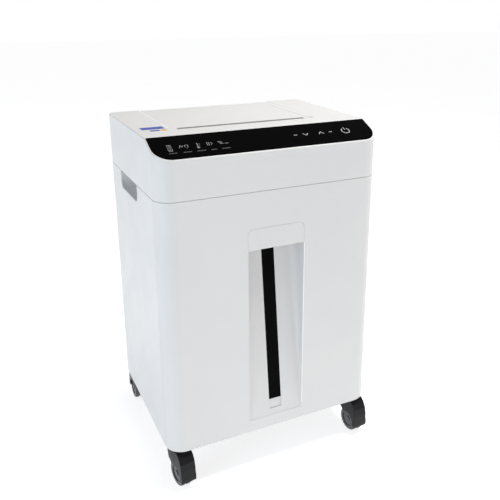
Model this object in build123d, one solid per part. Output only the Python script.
from build123d import *

import os
from math import atan2, cos, pi, radians, sin, sqrt, tan

# Office paper shredder on casters: head with cutter block and gear train, cabinet, pull-out bin.
#
# Frame: X to the right along the front, Y towards the back, Z up, in millimetres. The parts are
# modelled about the middle of the cabinet's plan, on the floor. The rear casters trail backwards,
# so the saved parts are moved forwards by ORIGIN_BACK, which puts the origin under the middle of
# the whole machine.

# ---------------------------------------------------------------- driving dimensions
WIDTH, DEPTH = 385.0, 300.0
Z_SHELL = 73.0  # lower edge of the cabinet's side walls
HEIGHT = Z_SHELL + 521.0
Z_BASE = Z_SHELL - 2.0  # underside of the base, over the casters
Z_SEAM = Z_SHELL + 433.0  # lower edge of the head cover
FRONT, BACK = -DEPTH / 2, DEPTH / 2
ORIGIN_BACK = 9.0  # how far the origin lies behind the middle of the cabinet
R_FRONT, R_BACK = 30.0, 14.0  # plan corner radii
WALL = 2.6
GAP = 0.4  # gap between neighbouring moulded parts
EDGE_R = 0.6  # rounding of moulded edges along the seams

# head
SLOPE_DEPTH, SLOPE_DROP = 56.0, 25.4  # the sloped front edge that carries the control panel
PANEL_THICK, PANEL_INSET = 1.5, 2.2
RAMP_X = (-136.0, 120.0)  # paper ramp sunk into the top
RAMP_FRONT, RAMP_LOW = -49.0, -31.0
RAMP_DROP, RAMP_BACK_DROP = 1.8, 1.4  # depth of the ramp at the slot and at the back
RAMP_BEVEL, RAMP_BEVEL_TILT, RAMP_CORNER_R = 1.2, 68.0, 6.0
SLOT_X = (-123.0, 107.0)
SLOT_Y = -39.0
SLOT_WIDE = 12.0
THROAT_GAP = 6.0  # throat width just above the cutters
PAN_TOP, PAN_THICK = Z_SEAM - 14.5, 3.0
PAN_LOW = PAN_TOP - PAN_THICK
PAN_X, PAN_FRONT = 162.0, FRONT + 11
VENT_COUNT, VENT_X, VENT_PITCH, VENT_Z = 14, 30.0, 8.0, (Z_SEAM + 17, Z_SEAM + 52)

# cutter block
Z_CUT = PAN_TOP + 37.0
CUT_CENTRES = 40.5
Y_FRONT_CUT, Y_REAR_CUT = SLOT_Y - CUT_CENTRES / 2, SLOT_Y + CUT_CENTRES / 2
DISC_R, CORE_R, JOURNAL_R = 24.0, 15.5, 8.0
DISC_THICK, DISC_PITCH, DISC_COUNT = 3.9, 8.2, 28
CUT_X0 = -123.0
LEFT_PLATE_X, RIGHT_PLATE_X, PLATE = -131.0, 111.0, 4.0
PLATE_Y = (SLOT_Y - 51, SLOT_Y + 51)
PLATE_TOP = PAN_TOP + 69.0
MOTOR_PLATE_BACK = SLOT_Y + 167
ROD_R = 3.5
ROD_PLACES = [(SLOT_Y + side * 46, PAN_TOP + h) for side in (-1, 1) for h in (8, 64)]
RUN = 0.05  # radial running clearance of shafts

# gear train: module, teeth
PRESSURE = radians(25)
SYNC = (2.25, 18)
FINAL, PINION_B = (1.5, 38), (1.5, 12)
GEAR_B, PINION_A = (1.25, 46), (1.25, 12)
GEAR_A, PINION_M = (1.0, 56), (1.0, 12)
SYNC_X = (-145.0, -135.0)
STAGE_1_X, STAGE_2_X, STAGE_3_X = (138.5, 143.5), (129.0, 136.5), (117.0, 127.0)
GEAR_PLATE_X = (147.0, 150.0)
STUD_R = 3.0
Y_IDLER_B = Y_REAR_CUT + (FINAL[0] * FINAL[1] + PINION_B[0] * PINION_B[1]) / 2
Y_IDLER_A = Y_IDLER_B + (GEAR_B[0] * GEAR_B[1] + PINION_A[0] * PINION_A[1]) / 2
Y_MOTOR = Y_IDLER_A + (GEAR_A[0] * GEAR_A[1] + PINION_M[0] * PINION_M[1]) / 2
MOTOR_R, MOTOR_X = 34.0, (-8.0, 105.0)

# electrics
BOARD = (-158.0, -112.0, 16.0, 116.0)
INLET_X, INLET_Z = (-150.0, -84.0), (Z_SEAM + 13, Z_SEAM + 43)
Z_INLET = Z_SEAM + 28
SOCKET_X, SOCKET_HALF = -130.0, (12.5, 8.6)
SWITCH_X = -98.0
ROCKER_HALF = (6.4, 10.2)
ROCKER_TILT = 9.0
ROCKER_AXIS_Y = BACK - 5.5

# cabinet and bin
Y_SPLIT = -124.0  # the bin front wraps the corners back to here
SHELL_TOP = Z_SEAM - 0.5
BASE_TOP = Z_SHELL + 14
GRIP_Y, GRIP_Z = (-32.0, 78.0), Z_SHELL + 403
GRIP_DEEP, GRIP_EDGE_R = 22.0, 1.6
BIN_WALL = 3.0
CHANNEL_HALF = 50.0
CHANNEL_BOTTOM, CHANNEL_TOP = Z_SHELL + 22, Z_SHELL + 336
CHANNEL_DEEP, CHANNEL_SHALLOW = 37.0, 0.5
CHANNEL_R, CHANNEL_R_LOW = 15.0, 0.5
PULL_TOP, PULL_R, PULL_THICK = Z_SHELL + 372, 10.0, 4.0
WINDOW_HALF, WINDOW_THICK = 11.2, 1.5
WINDOW_BOTTOM, GROOVE_BOTTOM = Z_SHELL + 52, Z_SHELL + 34
TUB_X, TUB_Y, TUB_Z = 176.0, (-107.5, 135.0), (Z_SHELL + 20, Z_SHELL + 386)
TUB_WALL, TUB_R = 2.2, 18.0
BIN_SCREWS = [(sx * 120.0, Z_SHELL + h) for sx in (-1, 1) for h in (78.0, 328.0)]
SWITCH_MID = (70.0, PAN_LOW - 7.5)  # the bin switch's plunger, in x and z

# casters: place of the stem, and the angle the wheels have swivelled to
CASTERS = {
    "front_left": (-171.5, -114.0, 9.0),
    "front_right": (171.0, -114.0, 5.0),
    "rear_left": (-170.0, 131.5, 180.0),
    "rear_right": (170.0, 131.5, 174.0),
}
TRAIL, WHEEL_R, WHEEL_WIDE = 18.0, 22.0, 8.0
WEB_HALF, HOOD_HALF, HOOD_WALL, HOOD_CLEAR = 3.0, 13.5, 2.2, 1.0
HOOD_EDGE_R = 1.8
AXLE_R, STEM_R = 2.5, 4.0
HOOD_TOP = Z_BASE - 3.0


# ---------------------------------------------------------------- helpers
def block(x0, x1, y0, y1, z0, z1):
    """Box between two corners."""
    centre = Pos((x0 + x1) / 2, (y0 + y1) / 2, (z0 + z1) / 2)
    return centre * Box(x1 - x0, y1 - y0, z1 - z0)


def rod_x(r, x0, x1, y, z):
    """Round bar along X."""
    return Pos((x0 + x1) / 2, y, z) * Rot(0, 90, 0) * Cylinder(r, x1 - x0)


def rod_y(r, y0, y1, x, z):
    """Round bar along Y."""
    return Pos(x, (y0 + y1) / 2, z) * Rot(90, 0, 0) * Cylinder(r, y1 - y0)


def rod_z(r, z0, z1, x, y):
    """Round bar along Z."""
    return Pos(x, y, (z0 + z1) / 2) * Cylinder(r, z1 - z0)


def plan(inset=0.0):
    """Plan outline of the cabinet and head, moved inwards by inset."""
    sketch = Rectangle(WIDTH - 2 * inset, DEPTH - 2 * inset)
    corners = sketch.vertices().sort_by(Axis.Y)
    sketch = fillet(corners[:2], R_FRONT - inset)
    corners = sketch.vertices().sort_by(Axis.Y)[-2:]
    return fillet(corners, R_BACK - inset)


def column(inset, z0, z1):
    """The plan outline as a solid from z0 to z1."""
    return Pos(0, 0, z0) * extrude(plan(inset), z1 - z0)


def side_prism(points, x0, x1):
    """Solid with a side outline of (y, z) points, from x0 to x1."""
    face = Plane.YZ.offset(x0) * make_face(Polyline(*points, close=True))
    return extrude(face, x1 - x0)


def group(*shapes):
    """Separate solids that share one node."""
    return Compound([solid for shape in shapes for solid in shape.solids()])


def save(name, shape):
    """Write one node, moved so that the origin is under the middle of the machine."""
    export_step(Pos(0, -ORIGIN_BACK, 0) * shape, os.path.join("parts", name + ".step"))


# ---------------------------------------------------------------- head cover and panel
SLOPE = atan2(SLOPE_DROP, SLOPE_DEPTH)


def above_slope(sink=0.0):
    """Everything above the sloped front edge, once that slope is moved sink mm into the head."""
    drop = sink / cos(SLOPE)
    y_far = 20.0
    reach = SLOPE_DEPTH + 2 * y_far
    low = HEIGHT - SLOPE_DROP - y_far * tan(SLOPE) - drop
    points = [
        (FRONT - y_far, low),
        (FRONT - y_far + reach, low + reach * tan(SLOPE)),
        (FRONT - y_far, low + reach * tan(SLOPE)),
    ]
    return side_prism(points, -WIDTH, WIDTH)


def ramp_void(grow=0.0):
    """The sunk paper ramp as a solid of air. grow thickens it for the wall under it."""
    top = HEIGHT + 20
    points = [
        (RAMP_FRONT - grow, HEIGHT - RAMP_DROP - grow),
        (RAMP_LOW, HEIGHT - RAMP_DROP - grow),
        (BACK, HEIGHT - RAMP_BACK_DROP - grow),
        (BACK + 10, HEIGHT - RAMP_BACK_DROP - grow),
        (BACK + 10, top),
        (RAMP_FRONT - grow, top),
    ]
    void = side_prism(points, RAMP_X[0] - grow, RAMP_X[1] + grow)
    upright = void.edges().filter_by(Axis.Z).sort_by(Axis.Y)[:2]
    return fillet(upright, RAMP_CORNER_R + grow)


def ramp_bevel():
    """Air over the shallow bevel round the ramp's rim."""
    back = BACK + 20
    rim = Rectangle(RAMP_X[1] - RAMP_X[0], back - RAMP_FRONT)
    rim = fillet(rim.vertices().sort_by(Axis.Y)[:2], RAMP_CORNER_R)
    centre = Pos((RAMP_X[0] + RAMP_X[1]) / 2, (RAMP_FRONT + back) / 2, HEIGHT - RAMP_BEVEL)
    return centre * extrude(rim, RAMP_BEVEL + 0.1, taper=-RAMP_BEVEL_TILT)


def make_head_cover():
    outer = column(0, Z_SEAM, HEIGHT) - above_slope()
    rim = [e for e in outer.edges() if e.center().Z > HEIGHT - SLOPE_DROP - 1]
    outer = fillet([e for e in rim if abs(e.center().Y + DEPTH / 2 - SLOPE_DEPTH) > 0.5], 1.6)
    inner = column(WALL, Z_SEAM - 1, HEIGHT - WALL) - above_slope(WALL + PANEL_THICK)
    inner -= ramp_void(WALL)
    outer = fillet(outer.edges().group_by(Axis.Z)[0], EDGE_R)
    cover = outer - inner - ramp_void() - ramp_bevel()
    half_slot = SLOT_WIDE / 2
    cover -= block(*SLOT_X, SLOT_Y - half_slot, SLOT_Y + half_slot, HEIGHT - 20, HEIGHT)
    for x, y in cover_screw_places():
        cover += rod_z(5, PAN_TOP, HEIGHT - 1, x, y) - above_slope(PANEL_THICK + 1)
        cover -= rod_z(1.6, PAN_TOP - 1, PAN_TOP + 16, x, y)
    cover -= panel_slab(0.1, PANEL_THICK)
    for i in range(VENT_COUNT):
        x = VENT_X + i * VENT_PITCH
        cover -= block(x - 1.5, x + 1.5, BACK - 5, BACK + 1, VENT_Z[0], VENT_Z[1])
    cover -= block(*INLET_X, BACK - 5, BACK + 1, *INLET_Z)
    return cover


def cover_screw_places():
    return [(sx * 152.0, y) for sx in (-1, 1) for y in (-128.0, 130.0)]


def panel_slab(grow, thick):
    """Slab that follows the slope, thick mm deep, inside the plan outline."""
    slab = column(PANEL_INSET - grow, Z_SEAM + 20, HEIGHT + 5) & above_slope(thick)
    slab -= above_slope()
    edge = FRONT + SLOPE_DEPTH - 1.2 + grow
    return slab & block(-WIDTH, WIDTH, FRONT - 5, edge, Z_SEAM, HEIGHT + 5)


def slope_plane(sink):
    """Plane parallel to the slope, sink mm under it, centred on its width."""
    middle = (0, FRONT + SLOPE_DEPTH / 2, HEIGHT - SLOPE_DROP / 2)
    facing = Vector(0, -sin(SLOPE), cos(SLOPE))
    return Plane(origin=Vector(*middle) - facing * sink, x_dir=(1, 0, 0), z_dir=facing)


def make_touch_board():
    board = Box(280, 34, 1.6) + Pos(110, -6, -4) * Box(20, 8, 6.4)
    return slope_plane(WALL + PANEL_THICK + 1.0) * board


# ---------------------------------------------------------------- feed throat
def make_feed_throat():
    z0, z1 = Z_CUT + 30, HEIGHT - RAMP_DROP - WALL
    body = block(SLOT_X[0] - 4, SLOT_X[1] + 4, SLOT_Y - 10, SLOT_Y + 10, z0, z1)
    body += block(SLOT_X[0] - 9, SLOT_X[1] + 9, RAMP_FRONT - 2, SLOT_Y + 13, z1 - 2.5, z1)
    half_top, half_low = SLOT_WIDE / 2, THROAT_GAP / 2
    points = [
        (SLOT_Y - half_low, z0 - 1),
        (SLOT_Y + half_low, z0 - 1),
        (SLOT_Y + half_low, z0 + 8),
        (SLOT_Y + half_top, z1 + 1),
        (SLOT_Y - half_top, z1 + 1),
        (SLOT_Y - half_low, z0 + 8),
    ]
    return body - side_prism(points, *SLOT_X)


def make_paper_sensor():
    z = Z_CUT + 40
    eyes = []
    for side in (-1, 1):
        y = SLOT_Y + side * 12.5
        eyes.append(Pos((SLOT_X[0] + SLOT_X[1]) / 2, y, z) * Box(9, 5, 7))
    return group(*eyes)


# ---------------------------------------------------------------- head pan
OUTLET = (-127.0, 107.0, SLOT_Y - 47, SLOT_Y + 47)


def make_head_pan():
    rear = BACK - WALL - GAP
    pan = block(-PAN_X, PAN_X, PAN_FRONT, rear, PAN_LOW, PAN_TOP)
    for y in (PAN_FRONT, rear - 2.5):
        pan += block(-PAN_X, PAN_X, y, y + 2.5, PAN_TOP, PAN_TOP + 13)
    pan -= block(*OUTLET, PAN_LOW - 1, PAN_TOP + 1)
    for x, y in cover_screw_places():
        pan -= rod_z(2.2, PAN_LOW - 1, PAN_TOP + 1, x, y)
    return pan


def make_cover_screws():
    screws = []
    for x, y in cover_screw_places():
        shank = rod_z(1.6, PAN_LOW - 0.5, PAN_TOP + 14, x, y)
        head = rod_z(3.8, PAN_LOW - 2.6, PAN_LOW, x, y) - Pos(x, y, PAN_LOW - 2.6) * Box(5, 0.9, 2)
        screws.append(shank + head)
    return group(*screws)


# ---------------------------------------------------------------- cutter block
def side_plate(x0, y_back):
    plate = block(x0, x0 + PLATE, PLATE_Y[0], y_back, PAN_TOP, PLATE_TOP)
    for y in (Y_FRONT_CUT, Y_REAR_CUT):
        plate -= rod_x(JOURNAL_R + 3, x0 - 1, x0 + PLATE + 1, y, Z_CUT)
    for y, z in ROD_PLACES:
        plate -= rod_x(ROD_R, x0 - 1, x0 + PLATE + 1, y, z)
    return plate


def make_right_side_plate():
    x0 = RIGHT_PLATE_X
    plate = side_plate(x0, MOTOR_PLATE_BACK)
    for y in (Y_IDLER_B, Y_IDLER_A):
        plate -= rod_x(STUD_R, x0 - 1, x0 + PLATE + 1, y, Z_CUT)
    plate -= rod_x(12, x0 - 1, x0 + PLATE + 1, Y_MOTOR, Z_CUT)
    for y, z in gear_post_places():
        plate -= rod_x(2.5, x0 - 1, x0 + PLATE + 1, y, z)
    return plate


def make_tie_rods():
    x0, x1 = LEFT_PLATE_X - 5, RIGHT_PLATE_X + PLATE
    return group(*[rod_x(ROD_R, x0, x1, y, z) for y, z in ROD_PLACES])


def make_frame_nuts():
    nuts = []
    for y, z in ROD_PLACES:
        nut = extrude(Plane.YZ.offset(LEFT_PLATE_X - 4) * RegularPolygon(6.5, 6), 4)
        nut = Pos(0, y, z) * nut
        nuts.append(nut - rod_x(ROD_R, LEFT_PLATE_X - 5, LEFT_PLATE_X, y, z))
    return group(*nuts)


def disc_face():
    """Cutter disc: a round with three hooked notches that cut the strips to length."""
    face = Circle(DISC_R)
    for i in range(3):
        notch = Polygon((DISC_R - 4, 0), (DISC_R + 2, -1), (DISC_R + 2, 6), align=None)
        face -= Rot(0, 0, 120 * i) * notch
    return face


def make_cutter(y, shift, x_right):
    """One roller: core, discs stepped round in a helix, and its two journals."""
    x_end = CUT_X0 + DISC_COUNT * DISC_PITCH
    roller = rod_x(CORE_R, CUT_X0, x_end, 0, 0)
    disc = disc_face()
    for i in range(DISC_COUNT):
        x = CUT_X0 + i * DISC_PITCH + shift
        turned = Plane.YZ.offset(x) * Rot(0, 0, 9 * i) * disc
        roller += extrude(turned, DISC_THICK)
    roller += rod_x(JOURNAL_R, -146, x_right, 0, 0)
    return Pos(0, y, Z_CUT) * roller


def make_cutter_bushes():
    bushes = []
    for x0, inward in ((LEFT_PLATE_X, 1), (RIGHT_PLATE_X, -1)):
        lip = (x0 + PLATE, x0 + PLATE + 1.5) if inward > 0 else (x0 - 1.5, x0)
        for y in (Y_FRONT_CUT, Y_REAR_CUT):
            bush = rod_x(JOURNAL_R + 3, x0, x0 + PLATE, y, Z_CUT)
            bush += rod_x(JOURNAL_R + 5, *lip, y, Z_CUT)
            bushes.append(bush - rod_x(JOURNAL_R + RUN, x0 - 9, x0 + 9, y, Z_CUT))
    return group(*bushes)


def make_stripper(y_axis, side, shift):
    """Comb whose fingers stand in the grooves of one roller. side is -1 in front, 1 behind."""
    near = y_axis + side * (DISC_R + 1.2)
    far = near + side * 3.5
    x0, x1 = LEFT_PLATE_X + PLATE, RIGHT_PLATE_X
    comb = block(x0, x1, min(near, far), max(near, far), Z_CUT - 11, Z_CUT + 11)
    tip = y_axis + side * 8
    for i in range(DISC_COUNT):
        x = CUT_X0 + i * DISC_PITCH + shift + DISC_THICK + 0.7
        if x + 2.9 < CUT_X0 + DISC_COUNT * DISC_PITCH:
            comb += block(x, x + 2.9, min(tip, near), max(tip, near), Z_CUT - 8, Z_CUT + 8)
    return comb - rod_x(CORE_R + 0.7, x0 - 1, x1 + 1, y_axis, Z_CUT)


# ---------------------------------------------------------------- gears
def gear_face(module, teeth, first_angle):
    """Spur gear outline. first_angle, in degrees, is where the middle of one tooth points."""
    pitch_r = module * teeth / 2
    base_r, tip_r, root_r = pitch_r * cos(PRESSURE), pitch_r + 0.9 * module, pitch_r - 1.15 * module
    half_tooth = (pi * module / 2 - 0.1) / 2 / pitch_r

    def involute(r):
        a = sqrt(max((r / base_r) ** 2 - 1, 0))
        return a - atan2(a, 1)

    at_pitch = involute(pitch_r)

    def half_angle(r):
        return half_tooth + at_pitch - involute(max(r, base_r))

    radii = [root_r, (max(base_r, root_r) + pitch_r) / 2, tip_r]
    points = []
    for i in range(teeth):
        middle = radians(first_angle) + 2 * pi * i / teeth
        flank = [(r, -half_angle(r)) for r in radii] + [(r, half_angle(r)) for r in radii[::-1]]
        points += [(r * cos(middle + a), r * sin(middle + a)) for r, a in flank]
    return make_face(Polyline(*points, close=True))


def gear(spec, first_angle, x0, x1, y, bore):
    """Spur gear with its axis along X at (y, Z_CUT)."""
    face = gear_face(*spec, first_angle) - Circle(bore)
    return Pos(0, y, Z_CUT) * extrude(Plane.YZ.offset(x0) * face, x1 - x0)


def meshed_angle(driver, driver_angle, follower, direction):
    """First-tooth angle of a follower that lies at direction (degrees) from its driver."""
    step, next_step = 360 / driver[1], 360 / follower[1]
    share = (direction - driver_angle) / step % 1
    return direction + 180 - next_step * (0.5 - share)


def gear_angles():
    """First-tooth angles, worked out from the rear roller outwards. Y is to the right here."""
    sync_front = meshed_angle(SYNC, 0, SYNC, 180)
    pinion_b = meshed_angle(FINAL, 0, PINION_B, 0)
    pinion_a = meshed_angle(GEAR_B, 0, PINION_A, 0)
    pinion_m = meshed_angle(GEAR_A, 0, PINION_M, 0)
    return sync_front, pinion_b, pinion_a, pinion_m


def make_idler(big, small, big_x, small_x, small_angle, y):
    """Compound gear: a large wheel and a pinion on one hub."""
    wheel = gear(big, 0, *big_x, y, STUD_R + RUN)
    pinion = gear(small, small_angle, *small_x, y, STUD_R + RUN)
    lo, hi = min(big_x[0], small_x[0]), max(big_x[1], small_x[1])
    hub = rod_x(small[0] * (small[1] / 2 - 1.2), lo, hi, y, Z_CUT)
    hub -= rod_x(STUD_R + RUN, lo - 1, hi + 1, y, Z_CUT)
    return wheel + pinion + hub


def gear_post_places():
    return [(SLOT_Y + dy, PAN_TOP + h) for dy in (-17, 153) for h in (8, 64)]


def make_gear_posts():
    x0, x1 = RIGHT_PLATE_X, GEAR_PLATE_X[1]
    posts = [rod_x(STUD_R, x0, x1, y, Z_CUT) for y in (Y_IDLER_B, Y_IDLER_A)]
    for y, z in gear_post_places():
        posts.append(rod_x(2.5, x0, x1, y, z) + rod_x(4, x0 + PLATE, GEAR_PLATE_X[0], y, z))
    return group(*posts)


def make_gear_plate():
    x0, x1 = GEAR_PLATE_X
    plate = block(x0, x1, SLOT_Y - 25, SLOT_Y + 161, PAN_TOP + 2, PAN_TOP + 70)
    for y in (Y_IDLER_B, Y_IDLER_A):
        plate -= rod_x(STUD_R, x0 - 1, x1 + 1, y, Z_CUT)
    for y, z in gear_post_places():
        plate -= rod_x(2.5, x0 - 1, x1 + 1, y, z)
    plate -= rod_x(14, x0 - 1, x1 + 1, Y_REAR_CUT, Z_CUT)
    return plate


# ---------------------------------------------------------------- motor
def make_motor_can():
    x0, x1 = MOTOR_X
    can = rod_x(MOTOR_R, x0, x1 - 4, Y_MOTOR, Z_CUT)
    can = fillet(can.edges(), 4)
    can += rod_x(MOTOR_R - 6, x1 - 6, x1 + 6, Y_MOTOR, Z_CUT)
    for side in (-1, 1):
        can += Pos(0, Y_MOTOR, Z_CUT) * Pos(x1 + 3, side * 29, 0) * Box(6, 14, 16)
    for i in range(8):
        slot = Pos(x0 + 14, 0, MOTOR_R) * Box(14, 4, 6)
        can -= Pos(0, Y_MOTOR, Z_CUT) * Rot(45 * i, 0, 0) * slot
    return can - rod_x(4 + RUN, x0 - 1, x1 + 7, Y_MOTOR, Z_CUT)


def make_motor_shaft():
    angle = gear_angles()[3]
    shaft = rod_x(4, MOTOR_X[0] - 16, STAGE_1_X[1] + 1, Y_MOTOR, Z_CUT)
    return shaft + gear(PINION_M, angle, *STAGE_1_X, Y_MOTOR, 3)


def make_motor_fan():
    x0 = MOTOR_X[0] - 14
    fan = rod_x(8, x0, x0 + 10, 0, 0) + rod_x(26, x0, x0 + 1.6, 0, 0)
    for i in range(9):
        fan += Rot(40 * i, 0, 0) * block(x0, x0 + 10, -0.9, 0.9, 7, 27)
    return Pos(0, Y_MOTOR, Z_CUT) * (fan - rod_x(4, x0 - 1, x0 + 11, 0, 0))


# ---------------------------------------------------------------- electrics
def make_main_board():
    x0, x1, y0, y1 = BOARD
    board = block(x0, x1, y0, y1, PAN_TOP + 8, PAN_TOP + 9.6)
    for x in (x0 + 4, x1 - 4):
        for y in (y0 + 4, y1 - 4):
            board += rod_z(2.5, PAN_TOP, PAN_TOP + 8, x, y)
    return board


def make_board_parts():
    x0, _, y0, _ = BOARD
    z = PAN_TOP + 9.6
    transformer = block(x0 + 8, x0 + 36, y0 + 8, y0 + 34, z, z + 24)
    relays = [block(x0 + 8, x0 + 24, y, y + 12, z, z + 15) for y in (y0 + 40, y0 + 56)]
    capacitors = [rod_z(6, z, z + 22, x0 + 34, y) for y in (y0 + 46, y0 + 62)]
    terminal = block(x0 + 8, x0 + 40, y0 + 76, y0 + 86, z, z + 11)
    return group(transformer, *relays, *capacitors, terminal)


def make_power_inlet():
    """Mains inlet and rocker housing in one moulding, flush with the back of the head."""
    x0, x1 = INLET_X
    z0, z1 = INLET_Z
    body = block(x0 + 0.2, x1 - 0.2, BACK - 3, BACK, z0 + 0.2, z1 - 0.2)
    rear = BACK - WALL - 0.2
    body += block(x0 + 3, x1 - 3, BACK - 30, BACK - 2, z0 + 3, z1 - 3)
    body += block(x0 - 3, x1 + 3, rear - 2.5, rear, z0 + 3, z1 - 3)
    hx, hz = SOCKET_HALF
    socket = block(SOCKET_X - hx, SOCKET_X + hx, BACK - 17, BACK + 1, Z_INLET - hz, Z_INLET + hz)
    body -= fillet(socket.edges().filter_by(Axis.Y).sort_by(Axis.Z)[-2:], 4)
    for dx, dz in ((-7, -2), (0, 2), (7, -2)):
        body += Pos(SOCKET_X + dx, BACK - 11, Z_INLET + dz) * Box(2, 14, 4)
    rx, rz = ROCKER_HALF
    body -= block(SWITCH_X - rx - 0.4, SWITCH_X + rx + 0.4, BACK - 16, BACK + 1,
                  Z_INLET - rz - 0.5, Z_INLET + rz + 0.5)
    pin = rod_x(1.5 - RUN, SWITCH_X - rx - 1, SWITCH_X + rx + 1, ROCKER_AXIS_Y, Z_INLET)
    return body + pin


def make_power_rocker():
    """Rocker with two faces at a small angle, resting with its lower end pressed in."""
    rx, rz = ROCKER_HALF
    crown = rz * tan(radians(ROCKER_TILT))
    points = [
        (3.0 + 1.2 - crown, -rz + 0.6),
        (3.0 + 1.2, 0),
        (3.0 + 1.2 - crown, rz - 0.6),
        (-3.0, rz - 2.2),
        (-6.0, 0),
        (-3.0, -rz + 2.2),
    ]
    rocker = side_prism(points, -rx, rx) - rod_x(1.5, -rx - 1, rx + 1, 0, 0)
    return Pos(SWITCH_X, ROCKER_AXIS_Y, Z_INLET) * Rot(-ROCKER_TILT, 0, 0) * rocker


# ---------------------------------------------------------------- cabinet
def grip_notch(depth_in, grow):
    """Hand-hold outline as a solid from the left side face inwards, open at the top."""
    x0 = -WIDTH / 2
    notch = block(x0 - 2, x0 + depth_in, GRIP_Y[0] - grow, GRIP_Y[1] + grow,
                  GRIP_Z - grow, SHELL_TOP + 10)
    low = notch.edges().filter_by(Axis.X).sort_by(Axis.Z)[:2]
    return fillet(low, 13 + grow)


def make_cabinet_shell():
    behind = block(-WIDTH, WIDTH, Y_SPLIT + 0.5, BACK + 10, 0, HEIGHT)
    shell = column(0, Z_SHELL, SHELL_TOP) & behind
    shell -= column(WALL, Z_SHELL - 1, SHELL_TOP + 1)
    notch = grip_notch(10, 0)
    shell = shell - notch - mirror(notch, Plane.YZ)
    rim = [
        e for e in shell.edges()
        if abs(abs(e.center().X) - WIDTH / 2) < 0.01
        and e.center().Z < SHELL_TOP - 1
        and e.center().Z > GRIP_Z - 1
        and GRIP_Y[0] - 1 < e.center().Y < GRIP_Y[1] + 1
    ]
    shell = fillet(rim, GRIP_EDGE_R)
    ledge = block(-PAN_X, PAN_X, BACK - WALL - 12, BACK - WALL + 0.5, PAN_LOW - 4, PAN_LOW)
    return shell + ledge


def make_grip_cup():
    """Cup behind the left hand-hold, open to the side."""
    x0 = -WIDTH / 2 + WALL
    outer = grip_notch(WALL + GRIP_DEEP + 2, 3) & block(x0, 0, -200, 200, 0, Z_SEAM - 0.2)
    cavity = grip_notch(WALL + GRIP_DEEP, 1) & block(-200, 0, -200, 200, 0, SHELL_TOP - 1)
    return outer - cavity


def make_cabinet_base():
    behind = block(-WIDTH, WIDTH, FRONT + 7, BACK, 0, HEIGHT)
    inset = WALL + 0.6
    base = column(inset, Z_BASE, BASE_TOP) & behind
    base -= column(inset + 3, Z_BASE - 1, BASE_TOP - 3) & block(-WIDTH, WIDTH, FRONT + 10, BACK, 0, HEIGHT)
    for x, y, _ in CASTERS.values():
        base += rod_z(13, Z_BASE, BASE_TOP - 2, x, y)
    for x in (-60, 60):
        base += block(x - 1.25, x + 1.25, FRONT + 8, BACK - 5, Z_BASE, BASE_TOP - 2)
    for side in (-1, 1):
        x = side * 130
        base += block(x - 4, x + 4, -100, 130, BASE_TOP - 1, TUB_Z[0] - 0.3)
    for x, y, _ in CASTERS.values():
        base -= rod_z(STEM_R + 2, Z_BASE - 1, BASE_TOP - 3, x, y)
    return base


def make_front_crossbar():
    x1 = WIDTH / 2 - WALL
    bar = block(-x1, x1, -122, -108, PAN_LOW - 14, PAN_LOW)
    return bar - block(-x1 - 1, x1 + 1, -120, -110, PAN_LOW - 15, PAN_LOW - 2)


def make_bin_switch():
    x, z = SWITCH_MID
    body = block(x - 10, x + 10, -132, -122, z - 5.5, z + 5.5)
    return body - block(x - 1.7, x + 1.7, -133, -124, z - 1.7, z + 1.7)


def make_bin_plunger():
    x, z = SWITCH_MID
    stem = block(x - 1.5, x + 1.5, -135.5, -127, z - 1.5, z + 1.5)
    return fillet(stem.edges().group_by(Axis.Y)[0], 0.8)


# ---------------------------------------------------------------- bin
def channel_section(z, deep, r, grow=0.0):
    """Cross-section of the front channel at height z, open at the front."""
    half, back = CHANNEL_HALF + grow, FRONT + deep + grow
    front = FRONT - 2
    r = r + grow
    c = r * (1 - cos(pi / 4))
    outline = Curve() + [
        Line((-half, front), (-half, back - r)),
        ThreePointArc((-half, back - r), (-half + c, back - c), (-half + r, back)),
        Line((-half + r, back), (half - r, back)),
        ThreePointArc((half - r, back), (half - c, back - c), (half, back - r)),
        Line((half, back - r), (half, front)),
        Line((half, front), (-half, front)),
    ]
    return Pos(0, 0, z) * make_face(outline)


def channel_solid(grow):
    low = channel_section(CHANNEL_BOTTOM - grow, CHANNEL_SHALLOW, CHANNEL_R_LOW, grow)
    high = channel_section(CHANNEL_TOP, CHANNEL_DEEP, CHANNEL_R, grow)
    return loft([low, high], ruled=True)


FLOOR_TILT = atan2(CHANNEL_DEEP - CHANNEL_SHALLOW, CHANNEL_TOP - CHANNEL_BOTTOM)


def floor_plane(z):
    """Plane on the channel floor at height z: local y runs up the floor, z out of it."""
    y = FRONT + CHANNEL_SHALLOW + (z - CHANNEL_BOTTOM) * tan(FLOOR_TILT)
    facing = (0, -cos(FLOOR_TILT), sin(FLOOR_TILT))
    return Plane(origin=(0, y, z), x_dir=(1, 0, 0), z_dir=facing)


def floor_strip(half, z0, z1, low, high):
    """Strip along the channel floor from z0 to z1, between two heights over the floor."""
    length = (z1 - z0) / cos(FLOOR_TILT)
    strip = Pos(0, length / 2, (low + high) / 2) * Box(2 * half, length, high - low)
    return floor_plane(z0) * strip


def pull_outline(grow, y0, y1):
    """The pull plate's outline, rounded at its upper corners, between two depths."""
    plate = block(-CHANNEL_HALF - grow, CHANNEL_HALF + grow, y0, y1, CHANNEL_TOP, PULL_TOP + grow)
    return fillet(plate.edges().filter_by(Axis.Y).sort_by(Axis.Z)[-2:], PULL_R + grow)


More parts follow.
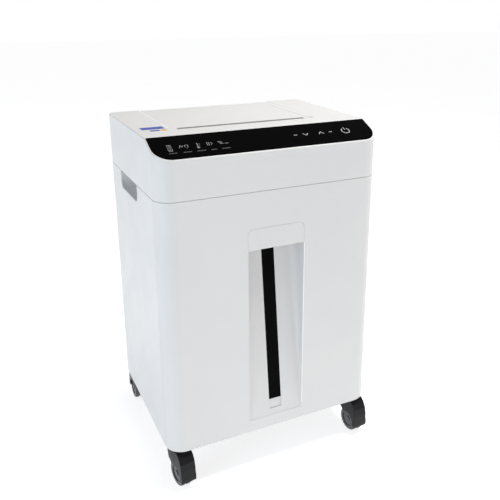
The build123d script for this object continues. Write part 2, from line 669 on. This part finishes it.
def make_bin_front():
    ahead = block(-WIDTH, WIDTH, FRONT - 5, Y_SPLIT, 0, HEIGHT)
    rim = SHELL_TOP - 6
    skin = column(0, Z_SHELL, SHELL_TOP) - column(BIN_WALL, Z_SHELL - 1, rim)
    skin = (skin - column(BIN_WALL + 6, rim - 1, HEIGHT)) & ahead
    rear_face = FRONT + CHANNEL_DEEP + BIN_WALL
    box = block(-CHANNEL_HALF - 3, CHANNEL_HALF + 3, FRONT + 1, rear_face, CHANNEL_TOP - 1, PULL_TOP + 4)
    skin += channel_solid(BIN_WALL) & block(-200, 200, FRONT, 0, Z_SHELL, CHANNEL_TOP)
    skin += box
    for x, z in BIN_SCREWS:
        skin += rod_y(5, FRONT + 1, TUB_Y[0], x, z)
        skin -= rod_y(1.6, TUB_Y[0] - 16, TUB_Y[0] + 1, x, z)
    tab_x, tab_z = SWITCH_MID
    skin += block(tab_x - 4, tab_x + 4, FRONT + 1, -136.0, tab_z - 5, tab_z + 5)
    skin -= channel_solid(0)
    skin -= pull_outline(0.3, FRONT - 1, FRONT + PULL_THICK)
    skin -= block(-CHANNEL_HALF + 2, CHANNEL_HALF - 2, FRONT + PULL_THICK - 0.5,
                  FRONT + CHANNEL_DEEP, CHANNEL_TOP - 1, PULL_TOP - 1)
    skin -= floor_strip(WINDOW_HALF + 0.3, GROOVE_BOTTOM, CHANNEL_TOP - 1, -WINDOW_THICK, 3)
    return skin - floor_strip(7.5, WINDOW_BOTTOM + 6, CHANNEL_TOP - 9, -9, 1)


def make_bin_pull():
    plate = pull_outline(0, FRONT, FRONT + PULL_THICK)
    return fillet(plate.edges().group_by(Axis.Z)[0].filter_by(Axis.X), 1.5)


def make_bin_window():
    return floor_strip(WINDOW_HALF, WINDOW_BOTTOM, CHANNEL_TOP - 2, -WINDOW_THICK, 0)


def make_bin_tub():
    y0, y1 = TUB_Y
    z0, z1 = TUB_Z
    middle = (y0 + y1) / 2
    outer = Pos(0, middle, z0) * extrude(RectangleRounded(2 * TUB_X, y1 - y0, TUB_R), z1 - z0)
    outer += Pos(0, middle, z1 - 4) * extrude(
        RectangleRounded(2 * TUB_X + 6, y1 - y0 - 0.1, TUB_R), 4)
    inner = RectangleRounded(2 * (TUB_X - TUB_WALL), y1 - y0 - 2 * TUB_WALL, TUB_R - TUB_WALL)
    tub = outer - Pos(0, middle, z0 + TUB_WALL) * extrude(inner, z1 - z0)
    tub -= block(-9, 9, y0 - 1, y0 + 3, WINDOW_BOTTOM + 8, CHANNEL_TOP - 12)
    for x, z in BIN_SCREWS:
        tub -= rod_y(2.2, y0 - 1, y0 + 3, x, z)
    return tub


def make_bin_screws():
    y = TUB_Y[0]
    screws = []
    for x, z in BIN_SCREWS:
        head = rod_y(4, y + TUB_WALL, y + TUB_WALL + 2.4, x, z)
        screws.append(rod_y(1.6, y - 14, y + TUB_WALL + 0.5, x, z) + head)
    return group(*screws)


# ---------------------------------------------------------------- casters
def make_caster_sockets():
    sockets = []
    for x, y, _ in CASTERS.values():
        sleeve = rod_z(STEM_R + 2, Z_BASE, BASE_TOP - 3, x, y)
        sleeve += rod_z(10, Z_BASE - 1.5, Z_BASE, x, y)
        sockets.append(sleeve - rod_z(STEM_R + RUN, Z_BASE - 2, BASE_TOP - 4, x, y))
    return group(*sockets)


def guard_sector(r0, r1, x0, x1):
    """Sector of a ring about the axle: over the top of the wheel and down its outer side."""
    keep = Polygon((0, 0), (60, 60), (-80, 80), (-80, -21), align=None)
    return extrude(Plane.YZ.offset(x0) * ((Circle(r1) - Circle(r0)) & keep), x1 - x0)


def make_caster_hood():
    """Hood of one caster: stem axis on Z, axle TRAIL mm in front of it, along -Y."""
    axle = Pos(0, -TRAIL, WHEEL_R)
    inner = WHEEL_R + HOOD_CLEAR
    outer = inner + HOOD_WALL
    web = extrude(Plane.YZ.offset(-WEB_HALF) * Circle(inner + 0.5), 2 * WEB_HALF)
    web -= block(-10, 10, -60, 60, -60, -12)
    guard = guard_sector(inner, outer, -HOOD_HALF, HOOD_HALF)
    lip = guard_sector(WHEEL_R - 5.5, inner + 0.5, HOOD_HALF - 1.3, HOOD_HALF)
    front = -TRAIL - outer
    side = [
        (11, HOOD_TOP),
        (11, HOOD_TOP - 8),
        (6, WHEEL_R + 18),
        (-TRAIL, WHEEL_R + 11),
        (front, WHEEL_R + 2),
        (front + 0.6, WHEEL_R + 18),
        (front + 3, WHEEL_R + 30),
        (front + 8, WHEEL_R + 39),
        (front + 16, HOOD_TOP),
    ]
    neck = side_prism(side, -HOOD_HALF, HOOD_HALF)
    rims = [e for e in neck.edges() if abs(abs(e.center().X) - HOOD_HALF) < 0.01]
    neck = fillet([e for e in rims if e.center().Z > WHEEL_R + 8], HOOD_EDGE_R)
    for x0, x1 in ((-30, -WEB_HALF), (WEB_HALF, 30)):
        neck -= axle * rod_x(inner, x0, x1, 0, 0)
    hood = neck + axle * (web + guard + lip + mirror(lip, Plane.YZ))
    hood -= rod_z(STEM_R, HOOD_TOP - 9, HOOD_TOP + 1, 0, 0)
    return hood - axle * rod_x(AXLE_R, -20, 20, 0, 0)


def make_caster_pins():
    stem = rod_z(STEM_R, HOOD_TOP - 9, BASE_TOP - 4.5, 0, 0)
    stem += rod_z(8, HOOD_TOP, HOOD_TOP + 1.3, 0, 0)
    half = WEB_HALF + WHEEL_WIDE - 3
    return group(stem, rod_x(AXLE_R, -half, half, -TRAIL, WHEEL_R))


def make_caster_wheel(side):
    """One wheel of the pair, on the side of the web given by side (-1 or 1)."""
    x0, x1 = WEB_HALF + 0.5, WEB_HALF + 0.5 + WHEEL_WIDE
    wheel = rod_x(WHEEL_R, x0, x1, 0, 0)
    wheel = fillet(wheel.edges().filter_by(GeomType.CIRCLE).sort_by(Axis.X)[-1], 3.0)
    wheel = fillet(wheel.edges().filter_by(GeomType.CIRCLE).sort_by(Axis.X)[0], 1.0)
    wheel -= rod_x(14, x1 - 1.3, x1 + 1, 0, 0) - rod_x(5, x1 - 2, x1 + 2, 0, 0)
    wheel -= rod_x(AXLE_R + RUN, x0 - 1, x1 - 2.6, 0, 0)
    if side < 0:
        wheel = mirror(wheel, Plane.YZ)
    return Pos(0, -TRAIL, WHEEL_R) * wheel


def save_casters():
    hood, pins = make_caster_hood(), make_caster_pins()
    wheels = {side: make_caster_wheel(side) for side in (-1, 1)}
    for corner, (x, y, turn) in CASTERS.items():
        place = Pos(x, y, 0) * Rot(0, 0, turn)
        outward = 1 if x > 0 else -1
        save(f"caster_hood_{corner}", place * hood)
        save(f"caster_pins_{corner}", place * pins)
        save(f"wheel_outer_{corner}", place * wheels[outward])
        save(f"wheel_inner_{corner}", place * wheels[-outward])


# ---------------------------------------------------------------- build
def main():
    os.makedirs("parts", exist_ok=True)
    sync_front, pinion_b, pinion_a, _ = gear_angles()
    grip_cup = make_grip_cup()
    nodes = {
        "head_cover": make_head_cover(),
        "control_panel": panel_slab(0, PANEL_THICK),
        "touch_board": make_touch_board(),
        "feed_throat": make_feed_throat(),
        "paper_sensor": make_paper_sensor(),
        "head_pan": make_head_pan(),
        "cover_screws": make_cover_screws(),
        "left_side_plate": side_plate(LEFT_PLATE_X, PLATE_Y[1]),
        "right_side_plate": make_right_side_plate(),
        "tie_rods": make_tie_rods(),
        "frame_nuts": make_frame_nuts(),
        "front_cutter": make_cutter(Y_FRONT_CUT, 0.0, RIGHT_PLATE_X + PLATE + 1),
        "rear_cutter": make_cutter(Y_REAR_CUT, DISC_PITCH / 2, STAGE_3_X[1]),
        "cutter_bushes": make_cutter_bushes(),
        "front_stripper": make_stripper(Y_FRONT_CUT, -1, 0.0),
        "rear_stripper": make_stripper(Y_REAR_CUT, 1, DISC_PITCH / 2),
        "front_sync_gear": gear(SYNC, sync_front, *SYNC_X, Y_FRONT_CUT, JOURNAL_R),
        "rear_sync_gear": gear(SYNC, 0, *SYNC_X, Y_REAR_CUT, JOURNAL_R),
        "final_gear": gear(FINAL, 0, *STAGE_3_X, Y_REAR_CUT, JOURNAL_R),
        "idler_gear_b": make_idler(GEAR_B, PINION_B, STAGE_2_X, STAGE_3_X, pinion_b, Y_IDLER_B),
        "idler_gear_a": make_idler(GEAR_A, PINION_A, STAGE_1_X, STAGE_2_X, pinion_a, Y_IDLER_A),
        "gear_posts": make_gear_posts(),
        "gear_plate": make_gear_plate(),
        "motor_can": make_motor_can(),
        "motor_shaft": make_motor_shaft(),
        "motor_fan": make_motor_fan(),
        "main_board": make_main_board(),
        "board_parts": make_board_parts(),
        "power_inlet": make_power_inlet(),
        "power_rocker": make_power_rocker(),
        "cabinet_shell": make_cabinet_shell(),
        "cabinet_base": make_cabinet_base(),
        "front_crossbar": make_front_crossbar(),
        "left_grip_cup": grip_cup,
        "right_grip_cup": mirror(grip_cup, Plane.YZ),
        "bin_switch": make_bin_switch(),
        "bin_switch_plunger": make_bin_plunger(),
        "caster_sockets": make_caster_sockets(),
        "bin_front": make_bin_front(),
        "bin_pull": make_bin_pull(),
        "bin_window": make_bin_window(),
        "bin_tub": make_bin_tub(),
        "bin_screws": make_bin_screws(),
    }
    for name, shape in nodes.items():
        save(name, shape)
    save_casters()


main()
